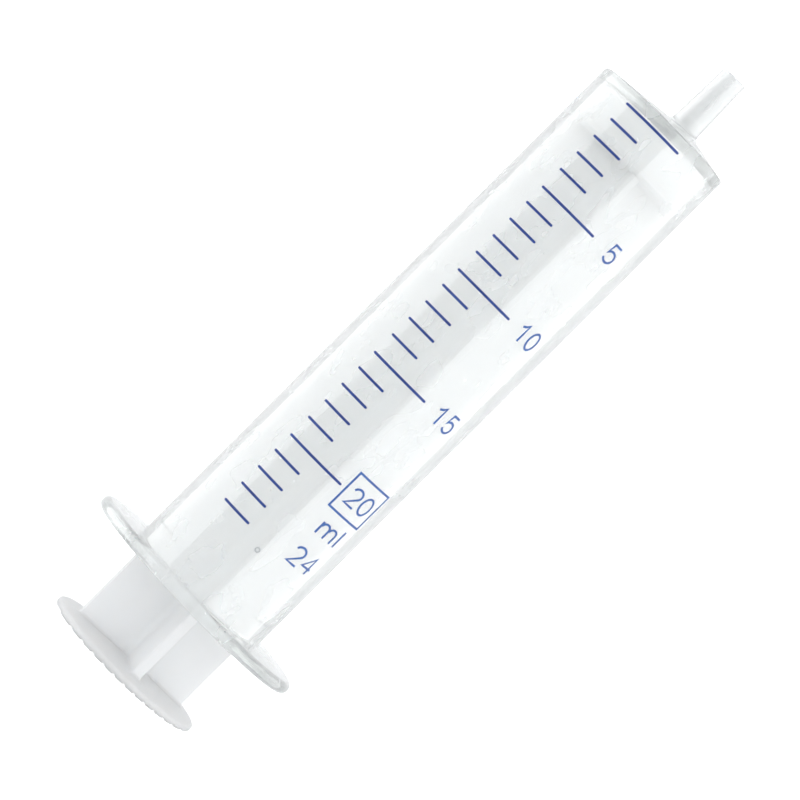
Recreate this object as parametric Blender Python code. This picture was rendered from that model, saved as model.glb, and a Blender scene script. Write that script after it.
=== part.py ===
"""Oral syringe, 20 ml, graduated to 24 ml: a barrel, a piston head and a plunger rod.

+Z runs along the syringe towards its tip, +X along the finger flange and +Y towards the
eccentric tip. The syringe stands on its thumb rest, whose underside is at z = 0, and its
plunger is pushed fully in. Sizes are in millimetres, turned into metres by MM.
"""

import math

import bmesh
import bpy
from mathutils import Matrix

MM = 0.001
SEGMENTS = 48  # sides of every round surface, so that bore and piston share their facets

# Barrel, one polypropylene moulding
BORE_RADIUS = 10.025  # 20.05 mm bore: 1 ml is 3.1675 mm of travel
WALL = 1.16
BARREL_RADIUS = BORE_RADIUS + WALL
FLANGE_BOTTOM = 13.25
FLANGE_THICKNESS = 1.95
FLANGE_HALF_LENGTH = 19.1
FLANGE_HALF_WIDTH = 12.8
FLANGE_EDGE_RADIUS = 0.9
FLANGE_FILLET = 0.5
MOUTH_LEAD_IN = 0.4
RIM_TOP = 105.1  # where the barrel's wall ends and its end wall begins
RIM_ROUNDING = 0.35
END_WALL_INSIDE = 103.45
BEAD_HEIGHT = 18.2  # the bead that stops the piston head from leaving the barrel
BEAD_STAND = 0.15
BEAD_HALF_WIDTH = 0.6
BORE_CHAMFER = 0.3

# Luer slip tip, a 6 % male taper set off the barrel's axis
TIP_TOP = 116.95
TIP_OFFSET = 6.06
TIP_END_RADIUS = 1.975
LUER_TAPER = 0.03  # the radius grows by 3 % of the length
TIP_FLARE_RADIUS = 3.1
TIP_BASE = 106.75  # where the oblique end wall meets the tip's flare
TIP_EDGE_ROUNDING = 0.2
LUMEN_RADIUS = 1.05
LUMEN_MOUTH_RADIUS = 1.6
LUMEN_MOUTH_RISE = 1.3  # how far above the bore's end the lumen starts to widen

# Plunger, one polyethylene moulding, divided where its head meets its rod
HEAD_FRONT = 103.1
HEAD_LENGTH = 5.9
NOSE_RADIUS = 8.5
LIP_RADIUS = 9.93
LIP_LENGTH = 0.8
LIP_CHAMFER = 0.4
HEAD_BACK_RADIUS = 9.3
NOSE_CHAMFER = 0.5
PART_GAP = 0.3
ROD_RADIUS = 9.7
RIB_THICKNESS = 1.5
RIB_FILLET = 1.3
RIB_CHAMFER = 0.25
ROD_TURN = math.radians(35.6)  # how far the rod is turned from the flange's long axis
FILLET_STEPS = 4

# Thumb rest, part of the rod
REST_RADIUS = 12.8
REST_RIM = 1.15
REST_EDGE_RADIUS = 0.55
REST_RISE = 0.6
GRIP_PITCH = 1.9
GRIP_GROOVE_WIDTH = 0.9
GRIP_GROOVE_DEPTH = 0.3
GRIP_GROOVES_A_SIDE = 7


def clear_scene():
    for old in list(bpy.data.objects):
        bpy.data.objects.remove(old, do_unlink=True)


def plastic(name, colour, roughness):
    """A Principled material of that colour."""
    material = bpy.data.materials.new(name)
    material.use_nodes = True
    shader = material.node_tree.nodes["Principled BSDF"]
    shader.inputs["Base Color"].default_value = (*colour, 1.0)
    shader.inputs["Roughness"].default_value = roughness
    shader.inputs["Metallic"].default_value = 0.0
    return material


def add_object(name, mesh_tools, origin_z=0.0):
    """Turns a bmesh in millimetres into a named object, its origin on the axis at origin_z."""
    bmesh.ops.recalc_face_normals(mesh_tools, faces=mesh_tools.faces)
    mesh = bpy.data.meshes.new(name)
    mesh_tools.to_mesh(mesh)
    mesh_tools.free()
    mesh.transform(Matrix.Scale(MM, 4) @ Matrix.Translation((0, 0, -origin_z)))
    mesh.shade_smooth()
    mesh.set_sharp_from_angle(angle=math.radians(30))
    made = bpy.data.objects.new(name, mesh)
    made.location.z = origin_z * MM
    bpy.context.scene.collection.objects.link(made)
    return made


def ring(mesh_tools, z, radius_x, radius_y=None, offset_y=0.0):
    """A ring of vertices: a circle, or an ellipse where radius_y is given."""
    radius_y = radius_x if radius_y is None else radius_y
    turns = [2 * math.pi * i / SEGMENTS for i in range(SEGMENTS)]
    return [
        mesh_tools.verts.new((radius_x * math.cos(a), radius_y * math.sin(a) + offset_y, z))
        for a in turns
    ]


def skin(mesh_tools, lower, upper):
    """The faces between two rings."""
    for i in range(SEGMENTS):
        j = (i + 1) % SEGMENTS
        mesh_tools.faces.new((lower[i], lower[j], upper[j], upper[i]))


def turned_solid(profile):
    """A solid turned about the axis from (radius, z) points, closed by a flat disc at each end."""
    mesh_tools = bmesh.new()
    rings = [ring(mesh_tools, z, radius) for radius, z in profile]
    for lower, upper in zip(rings, rings[1:]):
        skin(mesh_tools, lower, upper)
    mesh_tools.faces.new(rings[0])
    mesh_tools.faces.new(rings[-1])
    return mesh_tools


def arc(centre_r, centre_z, radius, start, end, steps):
    """Points (radius, z) along an arc, its angles in degrees counted from straight outwards."""
    angles = [math.radians(start + (end - start) * i / steps) for i in range(steps + 1)]
    return [(centre_r + radius * math.cos(a), centre_z + radius * math.sin(a)) for a in angles]


def flange_rings(mesh_tools):
    """The oval flange from the barrel's mouth, around its rounded edge, to the barrel's wall."""
    top = FLANGE_BOTTOM + FLANGE_THICKNESS
    stretch = FLANGE_HALF_WIDTH - FLANGE_HALF_LENGTH
    edge = arc(FLANGE_HALF_LENGTH - FLANGE_EDGE_RADIUS, FLANGE_BOTTOM + FLANGE_EDGE_RADIUS,
               FLANGE_EDGE_RADIUS, -90, 0, 3)
    edge += arc(FLANGE_HALF_LENGTH - FLANGE_EDGE_RADIUS, top - FLANGE_EDGE_RADIUS,
                FLANGE_EDGE_RADIUS, 0, 90, 3)
    rings = [ring(mesh_tools, FLANGE_BOTTOM, BORE_RADIUS + MOUTH_LEAD_IN)]
    rings += [ring(mesh_tools, z, r, r + stretch) for r, z in edge]
    fillet = arc(BARREL_RADIUS + FLANGE_FILLET, top + FLANGE_FILLET, FLANGE_FILLET, 270, 180, 2)
    rings += [ring(mesh_tools, z, r) for r, z in fillet]
    return rings


def end_and_tip_rings(mesh_tools):
    """The rounded rim, the oblique end wall and the tapered tip, to the tip's outer edge."""
    rim = arc(BARREL_RADIUS - RIM_ROUNDING, RIM_TOP - RIM_ROUNDING, RIM_ROUNDING, 0, 90, 2)
    rings = [ring(mesh_tools, z, r) for r, z in rim]
    root_radius = TIP_END_RADIUS + (TIP_TOP - TIP_BASE) * LUER_TAPER
    turn = TIP_FLARE_RADIUS - root_radius
    flare = arc(TIP_FLARE_RADIUS, TIP_BASE + turn, turn, 270, 180, 2)
    flare += [
        (TIP_END_RADIUS, TIP_TOP - TIP_EDGE_ROUNDING),
        (TIP_END_RADIUS - TIP_EDGE_ROUNDING, TIP_TOP),
    ]
    return rings + [ring(mesh_tools, z, r, offset_y=TIP_OFFSET) for r, z in flare]


def bore_rings(mesh_tools):
    """The lumen and the bore, from the tip's end down to the retaining bead."""
    lumen = [
        (LUMEN_RADIUS + TIP_EDGE_ROUNDING, TIP_TOP),
        (LUMEN_RADIUS, TIP_TOP - TIP_EDGE_ROUNDING),
        (LUMEN_RADIUS, TIP_BASE),
        (LUMEN_MOUTH_RADIUS, END_WALL_INSIDE + LUMEN_MOUTH_RISE),
    ]
    rings = [ring(mesh_tools, z, r, offset_y=TIP_OFFSET) for r, z in lumen]
    bore = [
        (BORE_RADIUS - BORE_CHAMFER, END_WALL_INSIDE),
        (BORE_RADIUS, END_WALL_INSIDE - BORE_CHAMFER),
        (BORE_RADIUS, BEAD_HEIGHT + BEAD_HALF_WIDTH),
        (BORE_RADIUS - BEAD_STAND, BEAD_HEIGHT),
        (BORE_RADIUS, BEAD_HEIGHT - BEAD_HALF_WIDTH),
        (BORE_RADIUS, FLANGE_BOTTOM + MOUTH_LEAD_IN),
    ]
    return rings + [ring(mesh_tools, z, r) for r, z in bore]


def make_barrel(material):
    """The barrel, its flange and its tip, as one closed loop of rings out and back in."""
    mesh_tools = bmesh.new()
    rings = flange_rings(mesh_tools) + end_and_tip_rings(mesh_tools) + bore_rings(mesh_tools)
    for lower, upper in zip(rings, rings[1:] + rings[:1]):
        skin(mesh_tools, lower, upper)
    barrel = add_object("barrel", mesh_tools)
    barrel.data.materials.append(material)


def make_piston_head(material):
    """The head that seals against the bore: a nose that widens backwards to a sealing lip."""
    back = HEAD_FRONT - HEAD_LENGTH
    lip_top = back + LIP_CHAMFER + LIP_LENGTH
    profile = [
        (HEAD_BACK_RADIUS, back),
        (LIP_RADIUS, back + LIP_CHAMFER),
        (LIP_RADIUS, lip_top),
        (NOSE_RADIUS + 0.75, lip_top + 0.8),
        (NOSE_RADIUS + 0.25, lip_top + 1.6),
        (NOSE_RADIUS, lip_top + 2.4),
        (NOSE_RADIUS, HEAD_FRONT - NOSE_CHAMFER),
        (NOSE_RADIUS - NOSE_CHAMFER, HEAD_FRONT),
    ]
    head = add_object("piston_head", turned_solid(profile), origin_z=back)
    head.data.materials.append(material)
    return back


def rod_outline():
    """The cross-shaped section of the rod: four ribs with chamfered ends and rounded corners."""
    half = RIB_THICKNESS / 2
    centre = half + RIB_FILLET
    quarter = [
        (ROD_RADIUS, -half + RIB_CHAMFER),
        (ROD_RADIUS, half - RIB_CHAMFER),
        (ROD_RADIUS - RIB_CHAMFER, half),
    ]
    for i in range(FILLET_STEPS + 1):
        a = math.radians(270 - 90 * i / FILLET_STEPS)
        quarter.append((centre + RIB_FILLET * math.cos(a), centre + RIB_FILLET * math.sin(a)))
    quarter.append((half, ROD_RADIUS - RIB_CHAMFER))
    outline = []
    for k in range(4):
        c, s = math.cos(k * math.pi / 2), math.sin(k * math.pi / 2)
        outline += [(c * x - s * y, s * x + c * y) for x, y in quarter]
    return outline


def add_guide(name, mesh_tools, turn=0.0):
    """An object that a Boolean reads and that isn't part of the syringe."""
    guide = add_object(name, mesh_tools)
    guide.rotation_euler.z = turn
    guide.hide_render = True
    guide.display_type = "WIRE"
    return guide


def rod_shaft(top):
    """The cross-shaped shaft, from inside the thumb rest up to top."""
    mesh_tools = bmesh.new()
    section = [mesh_tools.verts.new((x, y, REST_RIM / 2)) for x, y in rod_outline()]
    face = mesh_tools.faces.new(section)
    grown = bmesh.ops.extrude_face_region(mesh_tools, geom=[face])
    moved = [v for v in grown["geom"] if isinstance(v, bmesh.types.BMVert)]
    bmesh.ops.translate(mesh_tools, verts=moved, vec=(0, 0, top - REST_RIM / 2))
    return mesh_tools


def grip_grooves():
    """Bars that cut straight grip grooves across the thumb rest's underside."""
    mesh_tools = bmesh.new()
    for i in range(-GRIP_GROOVES_A_SIDE, GRIP_GROOVES_A_SIDE):
        bar = bmesh.ops.create_cube(mesh_tools, size=1.0)["verts"]
        size = (GRIP_GROOVE_WIDTH, 4 * REST_RADIUS, 2 * GRIP_GROOVE_DEPTH)
        bmesh.ops.scale(mesh_tools, vec=size, verts=bar)
        bmesh.ops.translate(mesh_tools, vec=((i + 0.5) * GRIP_PITCH, 0, 0), verts=bar)
    return mesh_tools


def add_boolean(target, guide, operation):
    """Joins or cuts target with guide."""
    step = target.modifiers.new(guide.name, "BOOLEAN")
    step.object = guide
    step.operation = operation
    step.solver = "EXACT"


def make_plunger_rod(material, head_back):
    """The thumb rest and the cross-shaped shaft up to the head's back, in one piece."""
    rest = [(REST_RADIUS - REST_EDGE_RADIUS, 0.0)]
    rest += arc(REST_RADIUS - REST_EDGE_RADIUS, REST_EDGE_RADIUS, REST_EDGE_RADIUS, -45, 0, 1)
    rest += arc(REST_RADIUS - REST_EDGE_RADIUS, REST_RIM - REST_EDGE_RADIUS,
                REST_EDGE_RADIUS, 0, 90, 2)
    rest += [(ROD_RADIUS, REST_RIM + REST_RISE / 2), (1.0, REST_RIM + REST_RISE)]
    rod = add_object("plunger_rod", turned_solid(rest))
    rod.rotation_euler.z = ROD_TURN
    rod.data.materials.append(material)
    shaft = rod_shaft(head_back - PART_GAP)
    add_boolean(rod, add_guide("shaft_guide", shaft, ROD_TURN), "UNION")
    add_boolean(rod, add_guide("groove_cutter", grip_grooves(), ROD_TURN), "DIFFERENCE")


def main():
    clear_scene()
    make_barrel(plastic("clear_polypropylene", (0.90, 0.92, 0.92), 0.18))
    milky = plastic("milky_polyethylene", (0.88, 0.89, 0.90), 0.38)
    head_back = make_piston_head(milky)
    make_plunger_rod(milky, head_back)


main()
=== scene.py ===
"""Looks of the oral syringe: fine meshes, plastics, printed scale, studio light and camera.

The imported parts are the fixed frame. Each CAD node is replaced by a finer mesh of nearly the
same shape that rides on the same body; the retaining bead stands a little lower and the
head's nose is a smooth curve. Lengths are in millimetres, turned into metres by MM.
"""

import math

import bmesh
import bpy
from mathutils import Matrix, Vector


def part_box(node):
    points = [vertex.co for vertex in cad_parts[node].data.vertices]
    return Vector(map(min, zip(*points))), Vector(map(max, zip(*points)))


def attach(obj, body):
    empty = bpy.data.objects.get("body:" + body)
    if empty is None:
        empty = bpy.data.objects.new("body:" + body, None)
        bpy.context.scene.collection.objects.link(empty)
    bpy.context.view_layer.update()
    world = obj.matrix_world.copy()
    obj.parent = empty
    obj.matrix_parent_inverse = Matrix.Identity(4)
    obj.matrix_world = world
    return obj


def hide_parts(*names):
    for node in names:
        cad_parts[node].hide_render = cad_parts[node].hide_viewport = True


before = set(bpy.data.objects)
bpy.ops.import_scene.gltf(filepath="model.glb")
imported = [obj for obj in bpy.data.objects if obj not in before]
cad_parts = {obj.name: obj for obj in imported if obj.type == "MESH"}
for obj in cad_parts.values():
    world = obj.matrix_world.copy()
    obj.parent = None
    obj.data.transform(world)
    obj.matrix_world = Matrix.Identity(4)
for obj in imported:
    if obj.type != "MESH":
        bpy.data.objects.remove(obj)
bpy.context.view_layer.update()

MM = 0.001
FINE = 192  # sides of the round surfaces
SHARP_ANGLE = math.radians(32)

# What the frame gives
barrel_low, barrel_high = (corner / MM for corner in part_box("barrel"))
head_low, head_high = (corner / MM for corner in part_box("piston_head"))
_, rod_high = (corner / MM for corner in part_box("plunger_rod"))

FLANGE_BOTTOM = barrel_low.z
FLANGE_HALF_LENGTH = barrel_high.x
FLANGE_HALF_WIDTH = barrel_high.y
TIP_TOP = barrel_high.z
HEAD_BACK = head_low.z
HEAD_FRONT = head_high.z
LIP_RADIUS = head_high.x
REST_RADIUS = rod_high.x
ROD_TOP = rod_high.z

# Barrel
BORE_RADIUS = 10.025
BARREL_RADIUS = 11.185
FLANGE_THICKNESS = 1.95
FLANGE_EDGE_RADIUS = 0.93
FLANGE_FILLET = 0.5
MOUTH_LEAD_IN = 0.4
RIM_TOP = 105.1
RIM_ROUNDING = 0.35
END_WALL_INSIDE = 103.45
BEAD_HEIGHT = 18.2
BEAD_STAND = 0.08
BEAD_HALF_WIDTH = 0.5
BEAD_STEPS = 8  # on each side of its crest
BORE_CORNER_RADIUS = 0.3
MOUTH_BEVEL_WIDTH = 0.1
MOUTH_BEVEL_RISE = 0.3

# Slip tip
TIP_OFFSET = 6.06
TIP_END_RADIUS = 1.975
TIP_FLARE_RADIUS = 3.1
TIP_BASE = 106.75
LUER_TAPER = 0.03  # the radius grows by 3 % of the length
TIP_EDGE_ROUNDING = 0.2
LUMEN_RADIUS = 1.05
LUMEN_MOUTH_RADIUS = 1.6
LUMEN_MOUTH_RISE = 1.3
TIP_CLARITY = 0.5  # how clear the tip is, as a share of how clear the wall is

# Plunger
HEAD_REACH_BACK = 0.25  # closes the gap to the rod, as both are one moulding
HEAD_BACK_BEVEL = 0.1
NOSE_RADIUS = 8.5
NOSE_ROUNDING = 0.5
NOSE_CURVE_LENGTH = 3.0
NOSE_CURVE_POWER = 2.2
LIP_LENGTH = 0.8
LIP_CHAMFER = 0.4
LIP_ROUNDING = 0.3
ROD_RADIUS = 9.7
RIB_THICKNESS = 1.5
RIB_FILLET = 1.3
RIB_ROUNDING = 0.25
ROOT_FILLET = 0.6
ROD_TURN = math.radians(35.6)
HEAD_BACK_RADIUS = 9.3
REST_RIM = 1.15
REST_EDGE_RADIUS = 0.55
REST_RISE = 0.6
GRIP_PITCH = 1.9
GRIP_GROOVE_WIDTH = 0.9
GRIP_GROOVE_DEPTH = 0.3

# Printed scale: angles are counted round the barrel from the middle of the print
PRINT_FACES = math.radians(22.0)
PRINT_LEAN = math.tan(math.radians(0.5))
PRINT_MIDDLE = 63.0
INK_GAP = 0.003
INK_THICKNESS = 0.014
ZERO_LINE = 103.17
ML_TRAVEL = 3.1633
LAST_ML = 24
LONG_LINE_DROP = 0.21
LINE_WIDTH = 0.37
LINE_START = -6.25
SHORT_LINE_END = -1.12
LONG_LINE_END = 3.88
NUMERAL_HEIGHT = 3.08
NUMERAL_STROKE = 0.34
NUMERAL_GAP = 0.34  # between two figures, as a share of a figure's width
BOX_CENTRE = 8.0
BOX_HALF_WIDTH = 3.5
BOX_HALF_HEIGHT = 3.2
BOX_LINE = 0.32
NOMINAL_ML = 20
INK_STEP = 0.25  # how finely flat ink is sliced before it is wrapped round the barrel

# Small ring on the wall, its bearing counted from the middle of the print
GATE_BEARING = math.radians(9.4)
GATE_HEIGHT = 25.6
GATE_RING_RADIUS = 0.33
GATE_RING_HALF_WIDTH = 0.07
GATE_RING_HALF_HEIGHT = 0.05
GATE_RING_LIFT = 0.01

# Camera and light
CAMERA_AZIMUTH = math.radians(22.0)
CAMERA_ELEVATION = math.radians(1.96)
CAMERA_ROLL = math.radians(44.95)
CAMERA_DISTANCE = 504.5
CAMERA_LENS = 165.6
AIM_HEIGHT = 53.0
AIM_SIDE = 1.11
FILL_FROM_LEFT = 1.03
FILL_FROM_RIGHT = 0.96
GLOW_FROM_LEFT = 1.2  # what clear plastic shows of the surroundings
GLOW_FROM_RIGHT = 2.1
SOFTBOX_DISTANCE = 0.5  # this and the next three in metres
SOFTBOX_HEIGHT = 0.9
SOFTBOX_MIDDLE = 0.06
FLOOR_HALF_WIDTH = 3.0


# ---------------------------------------------------------------- mesh tools

def arc(centre_r, centre_z, radius, start, end, steps):
    """Points (radius, z) along an arc, its angles in degrees counted from straight outwards."""
    angles = [math.radians(start + (end - start) * i / steps) for i in range(steps + 1)]
    return [(centre_r + radius * math.cos(a), centre_z + radius * math.sin(a)) for a in angles]


def ease(low, high, steps):
    """Values from low to high with both of them in."""
    return [low + (high - low) * i / steps for i in range(steps + 1)]


def circle(radius, z, offset_y=0.0):
    """A level circle as points."""
    return ellipse(radius, radius, z, offset_y)


def ellipse(radius_x, radius_y, z, offset_y=0.0):
    """A level ellipse as points."""
    turns = [2 * math.pi * i / FINE for i in range(FINE)]
    return [(radius_x * math.cos(a), radius_y * math.sin(a) + offset_y, z) for a in turns]


def loft(name, rings, closed=False):
    """One closed mesh through rings of equal length: a loop of rings, or flat discs at its ends."""
    count = len(rings[0])
    points = [p for one in rings for p in one]
    pairs = list(range(len(rings) - 1)) + ([len(rings) - 1] if closed else [])
    faces = []
    for i in pairs:
        lower, upper = i * count, ((i + 1) % len(rings)) * count
        for j in range(count):
            k = (j + 1) % count
            faces.append((lower + j, lower + k, upper + k, upper + j))
    if not closed:
        faces.append(tuple(range(count)))
        faces.append(tuple(range(len(points) - count, len(points))))
    return from_points(name, points, faces)


def from_points(name, points, faces):
    """A mesh object in metres with its faces pointing out."""
    mesh = bpy.data.meshes.new(name)
    mesh.from_pydata([Vector(p) * MM for p in points], [], faces)
    return outward(link(name, mesh))


def link(name, mesh):
    made = bpy.data.objects.new(name, mesh)
    bpy.context.scene.collection.objects.link(made)
    return made


def outward(made):
    """Turns the faces of a closed mesh outwards and shades its round parts smooth."""
    tools = bmesh.new()
    tools.from_mesh(made.data)
    bmesh.ops.recalc_face_normals(tools, faces=tools.faces)
    tools.to_mesh(made.data)
    tools.free()
    made.data.shade_smooth()
    made.data.set_sharp_from_angle(angle=SHARP_ANGLE)
    return made


def combine(made, tool, operation):
    """Joins or cuts made with tool, which is used up."""
    step = made.modifiers.new("combine", "BOOLEAN")
    step.object = tool
    step.operation = operation
    step.solver = "EXACT"
    bpy.context.view_layer.update()
    graph = bpy.context.evaluated_depsgraph_get()
    joined = bpy.data.meshes.new_from_object(made.evaluated_get(graph))
    made.modifiers.clear()
    made.data = joined
    bpy.data.objects.remove(tool)


# ---------------------------------------------------------------- materials

class Nodes:
    """A Principled material that is built up node by node."""

    def __init__(self, name):
        self.material = bpy.data.materials.new(name)
        self.material.use_nodes = True
        self.tree = self.material.node_tree
        self.shader = self.tree.nodes["Principled BSDF"]
        self.output = self.tree.nodes["Material Output"]

    def add(self, kind, **inputs):
        node = self.tree.nodes.new(kind)
        for key, value in inputs.items():
            node.inputs[key.replace("_", " ")].default_value = value
        return node

    def wire(self, source, target):
        self.tree.links.new(source, target)

    def set(self, **inputs):
        for key, value in inputs.items():
            self.shader.inputs[key.replace("_", " ")].default_value = value

    def noise(self, scale, stretch=(1, 1, 1), detail=3.0):
        """Noise over the object's own coordinates, stretched along an axis."""
        place = self.add("ShaderNodeTexCoord")
        mapping = self.add("ShaderNodeMapping")
        mapping.inputs["Scale"].default_value = stretch
        self.wire(place.outputs["Object"], mapping.inputs["Vector"])
        texture = self.add("ShaderNodeTexNoise", Scale=scale, Detail=detail)
        self.wire(mapping.outputs["Vector"], texture.inputs["Vector"])
        return texture.outputs["Fac"]

    def between(self, value, low, high):
        """Value, which runs from 0.3 to 0.7, as a number from low to high."""
        node = self.add("ShaderNodeMapRange")
        node.inputs["From Min"].default_value = 0.3
        node.inputs["From Max"].default_value = 0.7
        node.inputs["To Min"].default_value = low
        node.inputs["To Max"].default_value = high
        self.wire(value, node.inputs["Value"])
        return node.outputs["Result"]

    def colours(self, value, first, second):
        """A colour between first and second, by value."""
        node = self.add("ShaderNodeValToRGB")
        node.color_ramp.elements[0].position = 0.3
        node.color_ramp.elements[0].color = (*first, 1)
        node.color_ramp.elements[1].position = 0.7
        node.color_ramp.elements[1].color = (*second, 1)
        self.wire(value, node.inputs["Fac"])
        return node.outputs["Color"]

    def bump(self, height, depth):
        """Bump of that depth in metres."""
        node = self.add("ShaderNodeBump", Strength=1.0, Distance=depth)
        self.wire(height, node.inputs["Height"])
        self.wire(node.outputs["Normal"], self.shader.inputs["Normal"])


def clear_polypropylene():
    """Clear moulded plastic with a haze that flows along the barrel and is denser in the tip."""
    m = Nodes("clear_polypropylene")
    m.set(IOR=1.49, Coat_Weight=1.0, Coat_Roughness=0.03, Coat_IOR=1.5)
    flow = m.noise(60, stretch=(1, 1, 0.06), detail=4)
    haze = m.noise(320, stretch=(1, 1, 0.5), detail=2)
    place = m.add("ShaderNodeTexCoord")
    height = m.add("ShaderNodeSeparateXYZ")
    m.wire(place.outputs["Object"], height.inputs["Vector"])
    clarity = m.add("ShaderNodeMapRange")
    clarity.inputs["From Min"].default_value = RIM_TOP * MM
    clarity.inputs["From Max"].default_value = (TIP_BASE + 2) * MM
    clarity.inputs["To Min"].default_value = 1.0
    clarity.inputs["To Max"].default_value = TIP_CLARITY
    m.wire(height.outputs["Z"], clarity.inputs["Value"])
    clear_share = m.add("ShaderNodeMath")
    clear_share.operation = "MULTIPLY"
    m.wire(m.between(flow, 0.782, 0.798), clear_share.inputs[0])
    m.wire(clarity.outputs["Result"], clear_share.inputs[1])
    m.wire(clear_share.outputs["Value"], m.shader.inputs["Transmission Weight"])
    m.wire(m.colours(flow, (0.960, 0.972, 0.970), (0.975, 0.986, 0.984)),
           m.shader.inputs["Base Color"])
    m.wire(m.between(haze, 0.262, 0.278), m.shader.inputs["Roughness"])
    m.bump(m.noise(140, stretch=(1, 1, 0.12), detail=2), 0.000003)
    tint = m.add("ShaderNodeVolumeAbsorption")
    tint.inputs["Color"].default_value = (0.87, 0.885, 0.88, 1)
    tint.inputs["Density"].default_value = 110.0
    m.wire(tint.outputs["Volume"], m.output.inputs["Volume"])
    return m.material


def frosted_polypropylene():
    """The rough grey plastic of the small ring."""
    m = Nodes("frosted_polypropylene")
    m.set(IOR=1.49)
    grain = m.noise(5000, detail=2)
    m.wire(m.colours(grain, (0.30, 0.32, 0.34), (0.42, 0.44, 0.46)), m.shader.inputs["Base Color"])
    m.wire(m.between(grain, 0.4, 0.6), m.shader.inputs["Roughness"])
    return m.material


def milky_polyethylene():
    """Milky moulded plastic, softly translucent, with a satin skin."""
    m = Nodes("milky_polyethylene")
    m.set(IOR=1.5, Subsurface_Weight=1.0, Subsurface_Scale=0.004)
    m.shader.inputs["Subsurface Radius"].default_value = (1.0, 1.05, 1.1)
    cloud = m.noise(120, stretch=(1, 1, 0.25), detail=4)
    m.wire(m.colours(cloud, (0.855, 0.865, 0.87), (0.89, 0.895, 0.90)),
           m.shader.inputs["Base Color"])
    m.wire(m.between(m.noise(700, detail=2), 0.30, 0.42), m.shader.inputs["Roughness"])
    m.bump(m.noise(1500, detail=3), 0.000008)
    return m.material


def blue_ink(name, light, dark):
    """Printed ink, a little uneven where it went on thin."""
    m = Nodes(name)
    m.set(IOR=1.45)
    patch = m.noise(900, detail=3)
    m.wire(m.colours(patch, dark, light), m.shader.inputs["Base Color"])
    m.wire(m.between(patch, 0.35, 0.5), m.shader.inputs["Roughness"])
    m.bump(m.noise(4000, detail=2), 0.000004)
    return m.material


# ---------------------------------------------------------------- barrel

def barrel_outside():
    """Rings from the mouth round the flange, up the wall and over the end to the tip's edge."""
    top = FLANGE_BOTTOM + FLANGE_THICKNESS
    squeeze = FLANGE_HALF_WIDTH - FLANGE_HALF_LENGTH
    centre = FLANGE_HALF_LENGTH - FLANGE_EDGE_RADIUS
    edge = arc(centre, FLANGE_BOTTOM + FLANGE_EDGE_RADIUS, FLANGE_EDGE_RADIUS, -90, 0, 9)
    edge += arc(centre, top - FLANGE_EDGE_RADIUS, FLANGE_EDGE_RADIUS, 0, 90, 9)
    rings = [circle(BORE_RADIUS + MOUTH_LEAD_IN, FLANGE_BOTTOM)]
    rings += [ellipse(r, r + squeeze, z) for r, z in edge]
    wall = arc(BARREL_RADIUS + FLANGE_FILLET, top + FLANGE_FILLET, FLANGE_FILLET, 270, 180, 8)
    wall += [(BARREL_RADIUS, z) for z in ease(top + 3, RIM_TOP - 3, 24)]
    wall += arc(BARREL_RADIUS - RIM_ROUNDING, RIM_TOP - RIM_ROUNDING, RIM_ROUNDING, 0, 80, 8)
    rings += [circle(r, z) for r, z in wall]
    return rings + tip_outside()


def tip_outside():
    """The tip's flare, its 6 % taper and its rounded end."""
    root_radius = TIP_END_RADIUS + (TIP_TOP - TIP_BASE) * LUER_TAPER
    turn = TIP_FLARE_RADIUS - root_radius
    flare = arc(TIP_FLARE_RADIUS, TIP_BASE + turn, turn, 262, 180, 8)
    taper = [(TIP_END_RADIUS + (TIP_TOP - z) * LUER_TAPER, z)
             for z in ease(TIP_BASE + turn, TIP_TOP - TIP_EDGE_ROUNDING, 8)]
    end = arc(TIP_END_RADIUS - TIP_EDGE_ROUNDING, TIP_TOP - TIP_EDGE_ROUNDING,
              TIP_EDGE_ROUNDING, 0, 90, 5)
    return [circle(r, z, TIP_OFFSET) for r, z in flare + taper[1:-1] + end]


def barrel_inside():
    """Rings back from the tip's hole down the bore, over the retaining bead, to the mouth."""
    lumen = arc(LUMEN_RADIUS + TIP_EDGE_ROUNDING, TIP_TOP - TIP_EDGE_ROUNDING,
                TIP_EDGE_ROUNDING, 90, 180, 4)
    lumen += [(LUMEN_RADIUS, z) for z in ease(TIP_TOP - 1, TIP_BASE, 6)]
    lumen += [(LUMEN_MOUTH_RADIUS, END_WALL_INSIDE + LUMEN_MOUTH_RISE)]
    rings = [circle(r, z, TIP_OFFSET) for r, z in lumen]
    bore = arc(BORE_RADIUS - BORE_CORNER_RADIUS, END_WALL_INSIDE - BORE_CORNER_RADIUS,
               BORE_CORNER_RADIUS, 90, 0, 5)
    bore += [(BORE_RADIUS, z) for z in ease(END_WALL_INSIDE - 3, BEAD_HEIGHT + 3, 24)]
    for i in range(-BEAD_STEPS, BEAD_STEPS + 1):
        rise = 0.5 + 0.5 * math.cos(math.pi * i / BEAD_STEPS)
        bore.append((BORE_RADIUS - BEAD_STAND * rise,
                     BEAD_HEIGHT - BEAD_HALF_WIDTH * i / BEAD_STEPS))
    bore.append((BORE_RADIUS, FLANGE_BOTTOM + MOUTH_LEAD_IN + MOUTH_BEVEL_RISE))
    bore.append((BORE_RADIUS + MOUTH_BEVEL_WIDTH, FLANGE_BOTTOM + MOUTH_LEAD_IN))
    return rings + [circle(r, z) for r, z in bore]


def make_barrel(material):
    made = loft("barrel_moulding", barrel_outside() + barrel_inside(), closed=True)
    made.data.materials.append(material)
    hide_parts("barrel")
    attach(made, "barrel")


# ---------------------------------------------------------------- plunger

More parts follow.
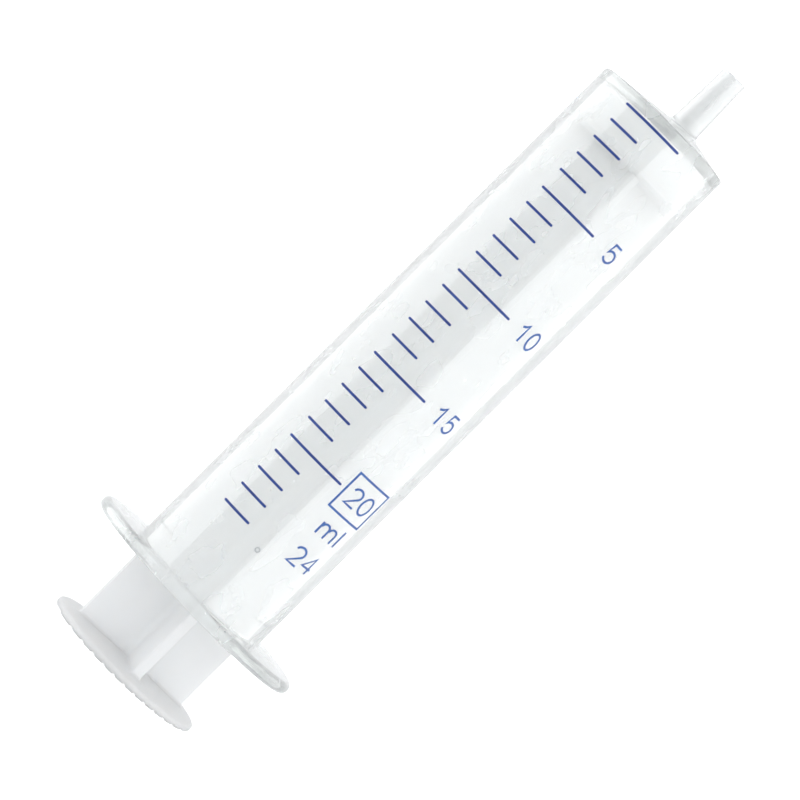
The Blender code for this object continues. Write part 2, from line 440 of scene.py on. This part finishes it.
def make_piston_head(material):
    """A nose that widens backwards in a hollow curve to the sealing lip."""
    back = HEAD_BACK - HEAD_REACH_BACK
    lip_low = HEAD_BACK + LIP_CHAMFER
    lip_top = lip_low + LIP_LENGTH
    lip_centre = LIP_RADIUS - LIP_ROUNDING
    profile = [(0.05, back), (4.5, back), (HEAD_BACK_RADIUS - HEAD_BACK_BEVEL, back),
               (HEAD_BACK_RADIUS, back + HEAD_BACK_BEVEL)]
    profile += arc(lip_centre, lip_low + 0.1, LIP_ROUNDING, -60, 0, 4)
    profile += arc(lip_centre, lip_top - LIP_ROUNDING, LIP_ROUNDING, 0, 60, 4)
    spread = LIP_RADIUS - LIP_ROUNDING / 2 - NOSE_RADIUS
    profile += [(NOSE_RADIUS + spread * (1 - t) ** NOSE_CURVE_POWER,
                 lip_top + NOSE_CURVE_LENGTH * t) for t in ease(0.06, 1, 14)]
    profile += arc(NOSE_RADIUS - NOSE_ROUNDING, HEAD_FRONT - NOSE_ROUNDING,
                   NOSE_ROUNDING, 0, 90, 7)
    profile += [(NOSE_RADIUS * t, HEAD_FRONT) for t in (0.7, 0.35, 0.05)]
    made = loft("piston_head_moulding", [circle(r, z) for r, z in profile])
    made.data.materials.append(material)
    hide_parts("piston_head")
    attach(made, "piston")


def rod_outline(grow=0.0):
    """The cross-shaped section of the rod, grown outwards all round by grow."""
    half = RIB_THICKNESS / 2 + grow
    reach = ROD_RADIUS + grow
    fillet = RIB_FILLET - grow
    centre = half + fillet
    quarter = arc(reach - RIB_ROUNDING, half - RIB_ROUNDING, RIB_ROUNDING, 0, 90, 4)
    quarter += arc(centre, centre, fillet, 270, 180, 10)
    quarter += arc(half - RIB_ROUNDING, reach - RIB_ROUNDING, RIB_ROUNDING, 0, 90, 4)
    outline = []
    for k in range(4):
        c, s = math.cos(k * math.pi / 2), math.sin(k * math.pi / 2)
        outline += [(c * x - s * y, s * x + c * y) for x, y in quarter]
    return outline


def rod_shaft():
    """The shaft, with a small fillet where it leaves the thumb rest."""
    root = REST_RIM + REST_RISE * 0.6
    rings = [[(x, y, REST_RIM / 2) for x, y in rod_outline(ROOT_FILLET * 0.9)]]
    for i in range(7):
        a = math.radians(270 - 90 * i / 6)
        grow = ROOT_FILLET * (1 + math.cos(a))
        rise = ROOT_FILLET * (1 + math.sin(a))
        rings.append([(x, y, root + rise) for x, y in rod_outline(grow)])
    rings += [[(x, y, z) for x, y in rod_outline()] for z in ease(root + 3, ROD_TOP, 20)]
    return loft("shaft", rings)


def grip_grooves():
    """Bars that cut the straight grip grooves across the thumb rest's underside."""
    reach = 2 * REST_RADIUS
    points, faces = [], []
    for i in range(-7, 7):
        middle = (i + 0.5) * GRIP_PITCH
        side = [(-0.5, -GRIP_GROOVE_DEPTH), (-0.5, 0.0), (-0.3, GRIP_GROOVE_DEPTH),
                (0.3, GRIP_GROOVE_DEPTH), (0.5, 0.0), (0.5, -GRIP_GROOVE_DEPTH)]
        first = len(points)
        for y in (-reach, reach):
            points += [(middle + x * GRIP_GROOVE_WIDTH, y, z) for x, z in side]
        n = len(side)
        faces += [(first + j, first + (j + 1) % n, first + n + (j + 1) % n, first + n + j)
                  for j in range(n)]
        faces += [tuple(range(first, first + n)), tuple(range(first + n, first + 2 * n))]
    return from_points("grooves", points, faces)


def make_plunger_rod(material):
    """The thumb rest and the cross-shaped shaft, as one piece."""
    centre = REST_RADIUS - REST_EDGE_RADIUS
    rest = arc(centre, REST_EDGE_RADIUS, REST_EDGE_RADIUS, -90, 0, 6)
    rest += arc(centre, REST_RIM - REST_EDGE_RADIUS, REST_EDGE_RADIUS, 0, 80, 6)
    rest += [(ROD_RADIUS + 0.6, REST_RIM + REST_RISE * 0.55), (1.0, REST_RIM + REST_RISE)]
    made = loft("plunger_rod_moulding", [circle(r, z) for r, z in rest])
    combine(made, rod_shaft(), "UNION")
    combine(made, grip_grooves(), "DIFFERENCE")
    made.data.transform(Matrix.Rotation(ROD_TURN, 4, "Z"))
    outward(made)
    made.data.materials.clear()
    made.data.materials.append(material)
    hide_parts("plunger_rod")
    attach(made, "plunger")


# ---------------------------------------------------------------- printed scale

def wrap(x, z, height):
    """A point of the flat print, carried round the barrel at that height above it."""
    around = (x + (z - PRINT_MIDDLE) * PRINT_LEAN) / BARREL_RADIUS + PRINT_FACES
    reach = BARREL_RADIUS + height
    return Vector((reach * math.sin(around), -reach * math.cos(around), z)) * MM


def print_on_barrel(name, tools, material):
    """Slices flat ink, wraps it round the barrel, gives it a thickness and lets it ride there."""
    left = min(v.co.x for v in tools.verts)
    right = max(v.co.x for v in tools.verts)
    cuts = int((right - left) / INK_STEP)
    for i in range(1, cuts + 1):
        everything = tools.verts[:] + tools.edges[:] + tools.faces[:]
        bmesh.ops.bisect_plane(tools, geom=everything, dist=1e-5,
                               plane_co=(left + i * INK_STEP, 0, 0), plane_no=(1, 0, 0))
    bmesh.ops.remove_doubles(tools, verts=tools.verts, dist=1e-5)
    flat = {v: (v.co.x, v.co.y) for v in tools.verts}
    grown = bmesh.ops.extrude_face_region(tools, geom=tools.faces[:], use_keep_orig=True)
    raised = [g for g in grown["geom"] if isinstance(g, bmesh.types.BMVert)]
    for v in raised:
        v.co = wrap(v.co.x, v.co.y, INK_GAP + INK_THICKNESS)
    for v, (x, z) in flat.items():
        v.co = wrap(x, z, INK_GAP)
    mesh = bpy.data.meshes.new(name)
    tools.to_mesh(mesh)
    tools.free()
    made = outward(link(name, mesh))
    made.data.materials.append(material)
    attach(made, "barrel")


def stroke(tools, start, end, z):
    """A printed line from start to end with softly rounded ends."""
    half = LINE_WIDTH / 2
    right = [(end - half + half * math.cos(a), z + half * math.sin(a))
             for a in [math.radians(-90 + 30 * i) for i in range(7)]]
    left = [(start + half + half * math.cos(a), z + half * math.sin(a))
            for a in [math.radians(90 + 30 * i) for i in range(7)]]
    tools.faces.new([tools.verts.new((x, y, 0)) for x, y in right + left])


def make_scale_lines(material):
    tools = bmesh.new()
    for ml in range(LAST_ML + 1):
        long_line = ml % 5 == 0
        z = ZERO_LINE - ml * ML_TRAVEL - (LONG_LINE_DROP if long_line else 0.0)
        stroke(tools, LINE_START, LONG_LINE_END if long_line else SHORT_LINE_END, z)
    print_on_barrel("scale_lines", tools, material)


def bow(x, y, reach_x, reach_y, start, end, steps=16):
    """Points along part of an ellipse, its angles in degrees."""
    angles = [math.radians(start + (end - start) * i / steps) for i in range(steps + 1)]
    return [(x + reach_x * math.cos(a), y + reach_y * math.sin(a)) for a in angles]


def figure_strokes(figure, w, h):
    """The centre lines of a figure or letter that is w wide and h high."""
    half = NUMERAL_STROKE / 2
    arch = h * 0.46
    strokes = {
        "0": [bow(w / 2, h / 2, w / 2, h / 2, 90, 450, 32)],
        "1": [[(0.02 * w, 0.74 * h), (0.32 * w, 0.84 * h), (0.55 * w, h), (0.55 * w, 0)]],
        "2": [bow(w * 0.5, h * 0.71, w * 0.46, h * 0.29, 165, -35) + [(0.03 * w, 0), (w, 0)]],
        "4": [[(0.76 * w, 0), (0.76 * w, h), (0, 0.31 * h), (0.76 * w - half, 0.31 * h)],
              [(0.76 * w + half, 0.31 * h), (w, 0.31 * h)]],
        "5": [[(0.92 * w, h), (0.22 * w, h), (0.09 * w, 0.47 * h)]
              + bow(w * 0.5, h * 0.32, w * 0.48, h * 0.32, 130, -155, 22)],
        "m": [[(0, 0), (0, 0.72 * h)],
              [(half, arch)] + bow(w * 0.27, arch, w * 0.23, h * 0.25, 150, 0) + [(w / 2, 0)],
              [(w / 2 + half, arch)] + bow(w * 0.77, arch, w * 0.23, h * 0.25, 150, 0) + [(w, 0)]],
        "l": [[(0, 0), (0, h)]],
    }
    return strokes[figure]


def ribbon(tools, path):
    """Flat ink along a path, mitred at its corners; a path that ends where it began is closed."""
    points = [Vector(p) for p in path]
    closed = (points[0] - points[-1]).length < 1e-6
    if closed:
        points.pop()
    count = len(points)
    sides = []
    for i, point in enumerate(points):
        ahead = points[(i + 1) % count] - point if closed or i < count - 1 else None
        behind = point - points[i - 1] if closed or i > 0 else None
        into = (behind or ahead).normalized()
        out = (ahead or behind).normalized()
        normal = Vector((-into.y - out.y, into.x + out.x)).normalized()
        mitre = max(normal.dot(Vector((-into.y, into.x))), 0.6)
        reach = normal * (NUMERAL_STROKE / 2 / mitre)
        sides.append([tools.verts.new((*(point + way * reach), 0)) for way in (1, -1)])
    for i in range(count if closed else count - 1):
        a, b = sides[i], sides[(i + 1) % count]
        tools.faces.new((a[0], a[1], b[1], b[0]))


def add_label(tools, body, centre, z, width):
    """Adds a number or unit, its ink that wide and NUMERAL_HEIGHT high, about (centre, z)."""
    shares = [0.0 if figure == "l" else 1.0 for figure in body]
    unit = (width - NUMERAL_STROKE) / (sum(shares) + NUMERAL_GAP * (len(body) - 1))
    height = NUMERAL_HEIGHT - NUMERAL_STROKE
    left = centre - (width - NUMERAL_STROKE) / 2
    for figure, share in zip(body, shares):
        for path in figure_strokes(figure, unit * share, height):
            ribbon(tools, [(left + x, z - height / 2 + y) for x, y in path])
        left += unit * (share + NUMERAL_GAP)


def make_scale_numerals(material):
    """The numbers beside the long lines, each as (label, ml, centre, shift up, width)."""
    tools = bmesh.new()
    labels = [("5", 5, 7.85, 0.10, 2.3), ("10", 10, 8.0, 0.05, 4.3), ("15", 15, 8.2, 0.10, 4.5),
              ("20", 20, 8.0, -0.02, 4.8), ("ml", 22, 8.15, 0.62, 4.4), ("24", 24, 8.2, 1.65, 4.9)]
    for body, ml, centre, shift, width in labels:
        z = ZERO_LINE - LONG_LINE_DROP - ml * ML_TRAVEL + shift
        add_label(tools, body, centre, z, width)
    print_on_barrel("scale_numerals", tools, material)


def make_scale_box(material):
    """The thin frame round the nominal volume."""
    z = ZERO_LINE - LONG_LINE_DROP - NOMINAL_ML * ML_TRAVEL
    tools = bmesh.new()
    outer = [(-BOX_HALF_WIDTH, -BOX_HALF_HEIGHT), (BOX_HALF_WIDTH, -BOX_HALF_HEIGHT),
             (BOX_HALF_WIDTH, BOX_HALF_HEIGHT), (-BOX_HALF_WIDTH, BOX_HALF_HEIGHT)]
    inner = [(x - math.copysign(BOX_LINE, x), y - math.copysign(BOX_LINE, y)) for x, y in outer]
    ring_out = [tools.verts.new((x + BOX_CENTRE, y + z, 0)) for x, y in outer]
    ring_in = [tools.verts.new((x + BOX_CENTRE, y + z, 0)) for x, y in inner]
    for i in range(4):
        j = (i + 1) % 4
        tools.faces.new((ring_out[i], ring_out[j], ring_in[j], ring_in[i]))
    print_on_barrel("scale_box", tools, material)


def make_gate_mark(material):
    """The small raised ring on the wall, taken for the mark of the mould's gate."""
    around = PRINT_FACES + GATE_BEARING
    outward_way = Vector((math.sin(around), -math.cos(around), 0))
    sideways = Vector((math.cos(around), math.sin(around), 0))
    centre = outward_way * (BARREL_RADIUS + GATE_RING_LIFT) + Vector((0, 0, GATE_HEIGHT))
    points, faces, turns, sides = [], [], 32, 10
    for i in range(turns):
        a = 2 * math.pi * i / turns
        spoke = sideways * math.cos(a) + Vector((0, 0, 1)) * math.sin(a)
        for j in range(sides):
            b = 2 * math.pi * j / sides
            reach = GATE_RING_RADIUS + GATE_RING_HALF_WIDTH * math.cos(b)
            lift = GATE_RING_HALF_HEIGHT * math.sin(b)
            points.append(centre + spoke * reach + outward_way * lift)
    for i in range(turns):
        k = (i + 1) % turns
        for j in range(sides):
            n = (j + 1) % sides
            faces.append((i * sides + j, k * sides + j, k * sides + n, i * sides + n))
    made = from_points("gate_mark", points, faces)
    made.data.materials.append(material)
    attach(made, "barrel")


# ---------------------------------------------------------------- studio

def camera_axes():
    """Back, right and up of the level camera before it is rolled."""
    a, e = CAMERA_AZIMUTH, CAMERA_ELEVATION
    back = Vector((math.sin(a) * math.cos(e), -math.cos(a) * math.cos(e), math.sin(e)))
    right = Vector((math.cos(a), math.sin(a), 0))
    return back, right, back.cross(right)


def make_camera():
    back, right, up = camera_axes()
    aim = Vector((0, 0, AIM_HEIGHT)) + right * AIM_SIDE
    rolled_right = up * math.cos(CAMERA_ROLL) + right * math.sin(CAMERA_ROLL)
    rolled_up = up * math.sin(CAMERA_ROLL) - right * math.cos(CAMERA_ROLL)
    data = bpy.data.cameras.new("camera")
    data.lens = CAMERA_LENS
    data.sensor_width = 36.0
    data.clip_start, data.clip_end = 0.01, 20.0
    camera = bpy.data.objects.new("camera", data)
    bpy.context.scene.collection.objects.link(camera)
    turn = Matrix((rolled_right, rolled_up, back)).transposed()
    camera.matrix_world = Matrix.Translation((aim + back * CAMERA_DISTANCE) * MM) @ turn.to_4x4()
    bpy.context.scene.camera = camera


def make_softbox(name, bearing, width, radiance):
    """A tall panel seen only as a reflection, its bearing in degrees to the right of the camera."""
    back, right, _ = camera_axes()
    level_back = Vector((back.x, back.y, 0)).normalized()
    b = math.radians(bearing)
    way = level_back * math.cos(b) + right * math.sin(b)
    data = bpy.data.lights.new(name, "AREA")
    data.shape = "RECTANGLE"
    data.size, data.size_y = width, SOFTBOX_HEIGHT
    data.energy = radiance * math.pi * width * SOFTBOX_HEIGHT
    panel = bpy.data.objects.new(name, data)
    bpy.context.scene.collection.objects.link(panel)
    panel.location = way * SOFTBOX_DISTANCE + Vector((0, 0, SOFTBOX_MIDDLE))
    panel.rotation_euler = (-way).to_track_quat("-Z", "Y").to_euler()
    panel.visible_camera = False
    panel.visible_diffuse = False
    panel.visible_transmission = False


def from_left_to_right(tree, left, right):
    """A brightness that changes evenly from the camera's left to its right, all round the scene."""
    place = tree.nodes.new("ShaderNodeTexCoord")
    across = tree.nodes.new("ShaderNodeVectorMath")
    across.operation = "DOT_PRODUCT"
    across.inputs[1].default_value = camera_axes()[1]
    brightness = tree.nodes.new("ShaderNodeMapRange")
    brightness.inputs["From Min"].default_value = -1.0
    brightness.inputs["To Min"].default_value = left
    brightness.inputs["To Max"].default_value = right
    tree.links.new(place.outputs["Generated"], across.inputs[0])
    tree.links.new(across.outputs["Value"], brightness.inputs["Value"])
    return brightness.outputs["Result"]


def make_world():
    """White surroundings: brighter where they show through the plastic than as fill light."""
    world = bpy.data.worlds.new("studio")
    bpy.context.scene.world = world
    world.use_nodes = True
    tree = world.node_tree
    sky = tree.nodes["Background"]
    sky.inputs["Color"].default_value = (1, 1, 1, 1)
    glow = from_left_to_right(tree, GLOW_FROM_LEFT, GLOW_FROM_RIGHT)
    tree.links.new(glow, sky.inputs["Strength"])
    fill = tree.nodes.new("ShaderNodeBackground")
    fill.inputs["Color"].default_value = (0.97, 0.985, 1.0, 1)
    even = from_left_to_right(tree, FILL_FROM_LEFT, FILL_FROM_RIGHT)
    tree.links.new(even, fill.inputs["Strength"])
    mix = tree.nodes.new("ShaderNodeMixShader")
    tree.links.new(seen_or_shown_through(tree), mix.inputs["Fac"])
    tree.links.new(fill.outputs["Background"], mix.inputs[1])
    tree.links.new(sky.outputs["Background"], mix.inputs[2])
    tree.links.new(mix.outputs["Shader"], tree.nodes["World Output"].inputs["Surface"])


def seen_or_shown_through(tree):
    """1 for what is seen directly or through clear plastic, 0 for light that falls on things."""
    path = tree.nodes.new("ShaderNodeLightPath")
    seen = tree.nodes.new("ShaderNodeMath")
    seen.operation = "MAXIMUM"
    tree.links.new(path.outputs["Is Camera Ray"], seen.inputs[0])
    tree.links.new(path.outputs["Is Transmission Ray"], seen.inputs[1])
    return seen.outputs["Value"]


def make_floor():
    """A plain white floor, evenly lit from below as a light table is."""
    size = FLOOR_HALF_WIDTH
    mesh = bpy.data.meshes.new("floor")
    corners = [(-size, -size, 0), (size, -size, 0), (size, size, 0), (-size, size, 0)]
    mesh.from_pydata(corners, [], [(0, 1, 2, 3)])
    floor = link("floor", mesh)
    m = Nodes("white_floor")
    m.set(Roughness=0.9, Specular_IOR_Level=0.0)
    m.shader.inputs["Base Color"].default_value = (0.8, 0.8, 0.8, 1)
    glow = m.add("ShaderNodeEmission", Strength=0.85)
    lit = m.tree.nodes.new("ShaderNodeAddShader")
    m.wire(m.shader.outputs["BSDF"], lit.inputs[0])
    m.wire(glow.outputs["Emission"], lit.inputs[1])
    mix = m.tree.nodes.new("ShaderNodeMixShader")
    m.wire(seen_or_shown_through(m.tree), mix.inputs["Fac"])
    m.wire(m.shader.outputs["BSDF"], mix.inputs[1])
    m.wire(lit.outputs["Shader"], mix.inputs[2])
    m.wire(mix.outputs["Shader"], m.output.inputs["Surface"])
    floor.data.materials.append(m.material)
    floor.visible_glossy = False
    floor.visible_shadow = False


# ---------------------------------------------------------------- assembly

clear = clear_polypropylene()
frosted = frosted_polypropylene()
milky = milky_polyethylene()
line_ink = blue_ink("line_ink", (0.018, 0.060, 0.30), (0.008, 0.030, 0.20))
numeral_ink = blue_ink("numeral_ink", (0.035, 0.13, 0.43), (0.018, 0.075, 0.32))

make_barrel(clear)
make_gate_mark(frosted)
make_piston_head(milky)
make_plunger_rod(milky)
make_scale_lines(line_ink)
make_scale_numerals(numeral_ink)
make_scale_box(numeral_ink)

make_world()
make_floor()
make_softbox("left_softbox", -89, 0.70, 1.5)
make_softbox("right_softbox", 70.5, 1.09, 1.75)
make_camera()
bpy.context.scene.view_settings.view_transform = "Standard"
